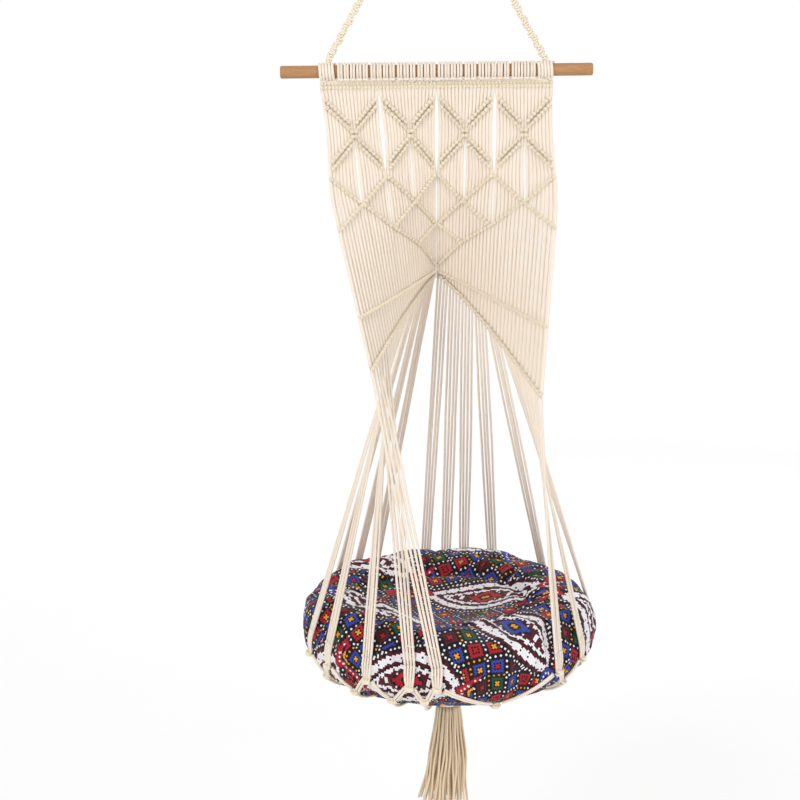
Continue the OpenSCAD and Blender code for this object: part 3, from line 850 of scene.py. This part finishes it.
# Hanging bundles of four cords, staggered in depth, from the arch to the cushion's rim
for b in range(BUNDLES):
    cords = Cords()
    for j in range(BUNDLE_CORDS):
        over = outward(ANGLES[b]) * (1.1 if j % 2 else -0.5)
        pts = [drop_point(b, j, t) + over * math.sin(math.pi * t) ** 0.5 for t in np.linspace(0, 1, 30)]
        cords.tube(smooth(hang(pts, 0.35), 9.0), DROP_CORD, 8)
    cords.build("bundle_%02d" % (b + 1), "basket", ["drop_cords_%02d" % (b + 1)], cord_mat)

# Runs of those cords on the rim, drawn together at the rim knots
cords = Cords()
for b in range(BUNDLES):
    for j in range(BUNDLE_CORDS):
        up, side = cord_touch(b, j) + 0.6, cord_side(b, j)
        pts = [rim_point(ANGLES[b], lerp(up, -RIM_KNOT_ANGLE, t), LAY_R + 0.6 * t, side * (1 - 0.45 * t ** 3))
               for t in np.linspace(0, 1, 16)]
        cords.tube(pts, DROP_CORD, 8)
cords.build("rim_runs", "basket", ["cradle_cords"], cord_mat)


def flat_knot(cords, a, up, d):
    """Square knot across four cords: two wraps and a slanting one between them."""
    f = math.radians(up)
    down = math.sin(f) * outward(a) - math.cos(f) * Z
    mid = rim_point(a, up, RIM_R + GAP + d / 2)
    half = d / 2 - KNOT_CORD
    outer, between = (5.4, half - 0.4), (4.8, half + 0.3)
    for k, lean, deep in ((-KNOT_CORD, 9, outer), (KNOT_CORD, -9, outer), (0.0, 24, between)):
        cords.ring(mid + k * down, down, 0, 1.75, lean, 20, 8, wide=sideways(a), deep=deep)
    cords.tube([mid + k * down for k in (-3.2, -1, 1, 3.2)], [1.8, 2.8, 2.8, 1.8], 10)


# Knots on the rim and in the net
cords = Cords()
for a in ANGLES:
    flat_knot(cords, a, -RIM_KNOT_ANGLE, RIM_KNOT)
cords.build("rim_square_knots", "basket", ["rim_knots"], knot_mat)
cords = Cords()
for b in range(BUNDLES):
    flat_knot(cords, net_angle(b), net_up(b), NET_KNOT)
cords.build("net_square_knots", "basket", ["net_knots"], knot_mat)


def branch_spot(b, hand, t):
    return rim_point(*net_line(b, hand, t), LAY_R, lerp(hand, -hand, t) * LAYER)


# Net under the cushion: pairs of cords from the rim knots to the net knots, and spokes to the crown
cords = Cords()
for b in range(BUNDLES):
    for hand in (-1, 1):
        for side in (-0.5, 0.5):
            pts = []
            for t in np.linspace(0.06, 0.94, 18):
                p = branch_spot(b, hand, t)
                way = branch_spot(b, hand, t + 0.02) - p
                w, up = net_line(b, hand, t)
                f = math.radians(up)
                face = math.cos(f) * outward(w) + math.sin(f) * Z
                pts.append(p + side * LAYER * unit(np.cross(face, way)))
            cords.tube(pts, NET_CORD, 8)
cords.build("net_branch_cords", "basket", ["net_branches"], cord_mat)
cords = Cords()
for b in range(BUNDLES):
    a = net_angle(b)
    for deep in (0, 1):
        pts = [rim_point(a, f, LAY_R + deep * LAYER) for f in np.linspace(net_up(b), -80, 14)]
        turn = (a + CROWN_TURN - 360 * b / BUNDLES) / 2
        end = CROWN + (CROWN_D / 2 - 1) * outward(turn) + np.array([0, 0, (0.5 - deep) * LAYER])
        last = pts[-1]
        pts += [lerp(last, end, t) for t in np.linspace(0.05, 1, 16)]
        cords.tube(smooth(pts, 7.0), NET_CORD, 8)
cords.build("net_spoke_cords", "basket", ["net_spokes"], cord_mat)

# Crown knot
cords = Cords()
ball(cords, CROWN, CROWN_D / 2, CROWN_CORD)
cords.build("crown_knot_cords", "crown", ["crown_knot"], knot_mat)

# Neck of the tassel, whose cords seat round the crown, and its winding
NECK_CORDS, CROWN_SEAT, SEAT_ANGLES = 22, CROWN_D / 2 + 2.2, [38.5, 42, 45.5, 49]
neck = np.array([CROWN[0], CROWN[1], NECK_TOP - NECK_L])
cords = Cords()
for k in range(NECK_CORDS):
    q = 2 * math.pi * k / NECK_CORDS
    out = np.array([math.cos(q), math.sin(q), 0])
    pts = [neck + out * (NECK_D / 2 - 2.0 - 1.2 * math.sin(math.pi * t)) + Z * (NECK_L * t)
           for t in np.linspace(0.0, 0.94, 11)]
    pts += [CROWN + CROWN_SEAT * (math.sin(f) * out - math.cos(f) * Z) for f in np.radians(SEAT_ANGLES)]
    cords.tube(pts, NECK_CORD, 7)
cords.tube([neck + Z * NECK_L * t for t in np.linspace(0.02, 0.97, 6)], NECK_CORE, 20)
cords.build("neck_cords", "tassel", ["neck_core"], tassel_mat)
cords = Cords()
wrap_start = neck + np.array([0, 0, CORD / 2 + GAP / 2])
cords.tube(turns(NECK_TURNS, NECK_D / 2 + GAP + CORD / 2, Z, wrap_start, Y), NECK_WRAP_CORD, 9)
cords.build("neck_wrap", "tassel", ["neck_binding"], cord_mat)

# Strands of the tassel, spread by the golden angle and leaning a little to the left
STRANDS, GOLDEN_ANGLE, TASSEL_LEAN = 72, 2.399963, -9
cords = Cords()
top = neck - np.array([0, 0, GAP])
for k in range(STRANDS):
    f = math.sqrt((k + 0.5) / STRANDS)
    q = k * GOLDEN_ANGLE
    out = np.array([math.cos(q), math.sin(q), 0])
    r0 = f * (NECK_D / 2 + 2.4) * rng.uniform(0.9, 1.0)
    r1 = f * (NECK_D / 2 - 2) * FLARE * rng.uniform(0.84, 1.0)
    drop = TASSEL_L - rng.uniform(0, 9) - 3 * f
    bend = rng.normal((TASSEL_LEAN, 0), 2.2)
    ph = rng.uniform(0, 6.28, 2)
    pts = []
    for t in np.linspace(0, 1, 22):
        wave = 1.5 * t ** 0.6 * np.array([math.sin(11 * t + ph[0]), math.sin(10 * t + ph[1]), 0])
        fall = np.array([bend[0] * t * t, bend[1] * t * t, -drop * t])
        pts.append(top + out * lerp(r0, r1, t ** 0.85) + fall + wave)
    cords.tube(smooth(pts, 7.0), STRAND, 7)
cords.build("tassel_strands", "tassel", ["tassel"], tassel_mat)

# Cushion: padded rim, dished seat and bowed bottom, held in by the cords
PAD_ROWS, PAD_COLS, PAD_EDGE = 118, 288, 2.0
PUFF_LIMIT, QUICK_PUFF = 11.0, 4.0
CLOTH_TURN, CLOTH_SHIFT = 0.45, 1000
SEAM_UP = -62


def section():
    """Half section from the middle of the seat over the rim to the middle of the bottom."""
    dish_r = (RIM_C ** 2 + SEAT ** 2 - RIM_R ** 2) / (2 * (RIM_R - SEAT))
    dish_z = SEAT + dish_r
    sink = BOWL - RIM_R
    bottom_r = (RIM_C ** 2 - sink ** 2) / (2 * sink) + BOWL
    tilt = math.atan2(RIM_C, dish_z)
    pts = [(dish_r * math.sin(q), dish_z - dish_r * math.cos(q)) for q in np.linspace(0, tilt, 60)]
    base = math.atan2(RIM_C, bottom_r - BOWL)
    ang = np.linspace(math.pi / 2 + tilt, -math.pi / 2 + base, 120)
    pts += [(RIM_C + RIM_R * math.cos(q), RIM_R * math.sin(q)) for q in ang]
    pts += [(bottom_r * math.sin(q), bottom_r - BOWL - bottom_r * math.cos(q))
            for q in np.linspace(base, 0, 60)]
    p = np.array(pts)
    d = distances(p)
    keep = np.concatenate([[True], np.diff(d) > 1e-6])
    return p[keep], d[keep]


def pad_mesh(verts, rows, cols, s, seam):
    """Closed mesh from rings of points, mapped as two flat rounds of cloth sewn together at the seam."""
    mesh = bpy.data.meshes.new("cushion_pad")
    faces = []
    for i in range(rows - 1):
        for j in range(cols):
            k = (j + 1) % cols
            faces.append((i * cols + j, i * cols + k, (i + 1) * cols + k, (i + 1) * cols + j))
    faces.append(tuple(range(cols - 1, -1, -1)))
    faces.append(tuple((rows - 1) * cols + j for j in range(cols)))
    mesh.from_pydata((verts.reshape(-1, 3) * MM).tolist(), [], faces)

    def spot(i, j, top):
        far = s[i] if top else s[-1] + PAD_EDGE - s[i]
        q = 2 * math.pi * j / cols + CLOTH_TURN
        return far * math.sin(q) / CELL + CLOTH_SHIFT, far * math.cos(q) / CELL + CLOTH_SHIFT

    coords = []
    for i in range(rows - 1):
        top = i < seam
        for j in range(cols):
            coords += [spot(i, j, top), spot(i, j + 1, top), spot(i + 1, j + 1, top), spot(i + 1, j, top)]
    coords += [spot(0, j, True) for j in range(cols - 1, -1, -1)]
    coords += [spot(rows - 1, j, False) for j in range(cols)]
    layer = mesh.uv_layers.new(name="UVMap")
    layer.data.foreach_set("uv", np.array(coords, np.float32).reshape(-1))
    mesh.polygons.foreach_set("use_smooth", [True] * len(mesh.polygons))
    mesh.update()
    return mesh


def finer(grid):
    """Twice as many points each way, on smooth curves through the points given."""
    g = np.concatenate([2 * grid[:1] - grid[1:2], grid, 2 * grid[-1:] - grid[-2:-1]])
    half = (9 * (g[1:-2] + g[2:-1]) - (g[:-3] + g[3:])) / 16
    tall = np.empty((2 * len(grid) - 1,) + grid.shape[1:])
    tall[0::2], tall[1::2] = grid, half
    step = (9 * (tall + np.roll(tall, -1, 1)) - (np.roll(tall, 1, 1) + np.roll(tall, -2, 1))) / 16
    wide = np.empty((len(tall), 2 * tall.shape[1], 3))
    wide[:, 0::2], wide[:, 1::2] = tall, step
    return wide


def puff(obj, weights, frames=20):
    """Blows the cover up against the cords that hold it, and returns how far each point went."""
    group = obj.vertex_groups.new(name="held")
    for i in np.nonzero(weights > 0)[0]:
        group.add([int(i)], float(weights[i]), "REPLACE")
    mod = obj.modifiers.new("Cloth", "CLOTH")
    cs = mod.settings
    cs.quality, cs.mass = 6, 0.3
    cs.tension_stiffness = cs.compression_stiffness = 12
    cs.shear_stiffness, cs.bending_stiffness = 4, 0.25
    cs.use_pressure, cs.uniform_pressure_force = True, 4.0
    cs.shrink_min = -0.05
    cs.effector_weights.gravity = 0.0
    cs.vertex_group_mass = "held"
    cs.pin_stiffness = 8.0
    mod.collision_settings.use_collision = False
    mod.point_cache.frame_start, mod.point_cache.frame_end = 1, frames
    was = np.array([v.co for v in obj.data.vertices])
    for f in range(1, frames + 1):
        scene.frame_set(f)
    shown = obj.evaluated_get(bpy.context.evaluated_depsgraph_get())
    now = np.array([v.co for v in shown.data.vertices])
    obj.modifiers.remove(mod)
    scene.frame_set(1)
    return (now - was) * 1000


def turned(r, h, th):
    """Values of a section, carried round the cushion's axis."""
    return np.stack([r[:, None] * np.sin(th), -r[:, None] * np.cos(th), h[:, None] * np.ones(len(th))], -1)


def holding_distance(base, th, rho, z, up):
    """How far each place is from a cord that holds it in: a bundle, a spoke or a branch of the net."""
    def round_gap(a):
        return np.abs((np.degrees(th) - a + 180) % 360 - 180)[None, :] * np.pi / 180 * rho[:, None]

    near = np.full(base.shape[:2], 99.0)
    for b in range(BUNDLES):
        top = max(cord_touch(b, j) for j in range(BUNDLE_CORDS)) + 3
        held = (up < top) & (up > -RIM_KNOT_ANGLE - 4) & (rho > RIM_C)
        near = np.where(held[:, None], np.minimum(near, round_gap(ANGLES[b])), near)
        held = (up < net_up(b) + 3) & (rho > 60) & (z < 0)
        near = np.where(held[:, None], np.minimum(near, round_gap(net_angle(b)) + 5), near)
        for hand in (-1, 1):
            for t in np.linspace(0, 1, 12):
                p = rim_point(*net_line(b, hand, t), RIM_R)
                near = np.minimum(near, np.linalg.norm(base - p, axis=-1))
    return near


def creased(base, normal, th, rho, z, up, loose):
    """Lumps and folds where no cord holds the cover, pleats round the seat, and room above the crown."""
    fold = 0
    for k, (n, ph) in enumerate(((19, 0.4), (31, 1.9), (47, 4.0), (71, 2.7))):
        fold = fold + np.sin(n * th + ph + 1.7 * np.sin(3 * th + k))[None, :] / (1 + 0.7 * k)
    top = (z > 0)[:, None]
    inner = np.exp(-((np.abs(up) - 150) / 45.0) ** 2)[:, None] * top
    outer = np.exp(-((up - 30) / 55.0) ** 2)[:, None]
    lump = 2.2 * np.sin(5 * th + 0.7)[None, :]
    lump = lump + 1.6 * np.sin(9 * th + 2.1)[None, :] * np.cos(np.radians(up - 60))[:, None]
    shape = base + normal * (loose * (1.8 * inner * fold + 1.2 * outer * fold + lump - 2.0))[..., None]
    crease = np.exp(-((rho - 116) / 9.0) ** 2)[:, None] * top
    gather = np.exp(-((rho - 128) / 20.0) ** 2)[:, None] * top
    pleats = 1.1 * gather * np.sin(58 * th + 2 * np.sin(7 * th))[None, :]
    shape = shape + normal * (pleats - 7.0 * crease)[..., None]
    lift = 1.6 * np.exp(-(rho / 26) ** 2) * (z < 0)
    return shape - normal * lift[:, None, None]


def cushion():
    """The section carried round, creased, blown up against the cords and covered with stitched cloth."""
    prof, dist = section()
    s = np.linspace(PAD_EDGE, dist[-1] - PAD_EDGE, PAD_ROWS)
    rho, z = np.interp(s, dist, prof[:, 0]), np.interp(s, dist, prof[:, 1])
    up = np.degrees(np.arctan2(z, rho - RIM_C))
    th = 2 * math.pi * np.arange(PAD_COLS) / PAD_COLS
    base = HUB + turned(rho, z, th)
    slope = np.gradient(np.stack([rho, z], 1), s, axis=0)
    normal = turned(-slope[:, 1], slope[:, 0], th)
    near = holding_distance(base, th, rho, z, up)
    rim = np.clip((rho - 96) / 30, 0, 1)[:, None]
    loose = rim * (1 - np.exp(-(near / 14.0) ** 2))
    shape = creased(base, normal, th, rho, z, up, loose)
    seam = int(np.argmin(np.abs(up - SEAM_UP) + 1e3 * (rho < RIM_C)))
    trial = add_object("cushion_trial", pad_mesh(shape, PAD_ROWS, PAD_COLS, s, seam))
    seat = np.where(rho < 122, 1.0, np.where(rho < 132, 0.3, 0.0))[:, None]
    held = np.where(near < 6, 1.0, seat)
    went = puff(trial, held.reshape(-1)).reshape(PAD_ROWS, PAD_COLS, 3)
    bpy.data.objects.remove(trial)
    far = np.linalg.norm(went, axis=-1, keepdims=True)
    went = went * np.minimum(1, PUFF_LIMIT / np.maximum(far, 1e-6))
    out = finer(shape + went)
    s = np.linspace(s[0], s[-1], len(out))
    mesh = pad_mesh(out, len(out), out.shape[1], s, 2 * seam)
    nodes = ["cushion_cover", "cushion_filling"]
    obj = place("cushion_pad", mesh, "basket", nodes, stitched())


cushion()

# Pale floor, in metres. Where it is seen, it glows more with distance, up to white.
FLOOR_DROP, FLOOR_HALF, FLOOR_GLOW = 0.25, 9, 0.6
GLOW_RANGE = (("From Min", 2.0), ("From Max", 4.5), ("To Min", 0.99), ("To Max", 1.235))
mesh = bpy.data.meshes.new("floor")
low = float(cad_box[0][2]) - FLOOR_DROP
corners = ((-1, -1), (1, -1), (1, 1), (-1, 1))
mesh.from_pydata([(FLOOR_HALF * x, FLOOR_HALF * y, low) for x, y in corners], [], [(0, 1, 2, 3)])
floor = add_object("floor", mesh)
g = Graph("floor_pale")
dust = g.noise(g.place_xyz(), 3.0, 2.0)
g.finish(g.mix(dust, (0.93, 0.93, 0.93, 1), (0.9, 0.9, 0.9, 1)), 0.9)
rays = g.node("ShaderNodeLightPath").outputs
seen = g.high(g.high(rays["Is Camera Ray"], rays["Is Glossy Ray"]), rays["Is Transmission Ray"])
away = g.node("ShaderNodeVectorMath", operation="LENGTH")
g.links.new(g.place_xyz(), away.inputs[0])
span = g.node("ShaderNodeMapRange")
for socket, value in GLOW_RANGE:
    span.inputs[socket].default_value = value
g.links.new(away.outputs["Value"], span.inputs["Value"])
glow = g.node("ShaderNodeEmission")
g.links.new(span.outputs[0], glow.inputs["Strength"])
both = g.node("ShaderNodeMixShader")
g.links.new(g.mul(seen, FLOOR_GLOW), both.inputs[0])
g.links.new(g.shader.outputs[0], both.inputs[1])
g.links.new(glow.outputs[0], both.inputs[2])
g.links.new(both.outputs[0], g.nodes["Material Output"].inputs["Surface"])
mesh.materials.append(g.mat)

# World: white to the camera and in reflections, softer as light
WORLD_LIGHT, WORLD_SEEN = 0.7, 1.0
world = bpy.data.worlds.new("studio")
scene.world = world
world.use_nodes = True
wn, wl = world.node_tree.nodes, world.node_tree.links
back = wn["Background"]
back.inputs["Color"].default_value = (1, 1, 1, 1)
path = wn.new("ShaderNodeLightPath")
seen = path.outputs["Is Camera Ray"]
for ray in ("Is Glossy Ray", "Is Transmission Ray"):
    more = wn.new("ShaderNodeMath")
    more.operation = "MAXIMUM"
    wl.new(seen, more.inputs[0])
    wl.new(path.outputs[ray], more.inputs[1])
    seen = more.outputs[0]
span = wn.new("ShaderNodeMapRange")
span.inputs["To Min"].default_value = WORLD_LIGHT
span.inputs["To Max"].default_value = WORLD_SEEN
wl.new(seen, span.inputs["Value"])
wl.new(span.outputs[0], back.inputs["Strength"])


def lamp(name, at, size, power, aim=(0, 0, -0.75)):
    """Round lamp aimed at the middle of the hammock."""
    data = bpy.data.lights.new(name, "AREA")
    data.shape, data.size, data.energy = "DISK", size, power
    obj = add_object(name, data)
    obj.location = at
    obj.rotation_euler = (Vector(aim) - Vector(at)).to_track_quat("-Z", "Y").to_euler()


lamp("key", (-1.9, -2.3, 0.9), 1.6, 49)
lamp("fill", (2.3, -1.8, -0.3), 1.8, 25)
lamp("back", (0.6, 2.4, 0.4), 1.8, 24)

# Camera, matched to the photo: level with the panel's upper part, looking down a little
CAMERA_PITCH, CAMERA_ROLL, CAMERA_LENS = math.radians(12.0), math.radians(0.6), 62.5
CAMERA_AT = (-0.0575, -2.0548, DOWEL_Z / 1000 - 0.0475)
data = bpy.data.cameras.new("camera")
data.sensor_width, data.lens = 36.0, CAMERA_LENS
data.clip_end = 50
cam = add_object("camera", data)
fwd = Vector((0, math.cos(CAMERA_PITCH), -math.sin(CAMERA_PITCH)))
level_up = Vector((0, math.sin(CAMERA_PITCH), math.cos(CAMERA_PITCH)))
right = math.cos(CAMERA_ROLL) * Vector((1, 0, 0)) - math.sin(CAMERA_ROLL) * level_up
up = math.sin(CAMERA_ROLL) * Vector((1, 0, 0)) + math.cos(CAMERA_ROLL) * level_up
cam.matrix_world = Matrix.Translation(CAMERA_AT) @ Matrix((right, up, -fwd)).transposed().to_4x4()
scene.camera = cam
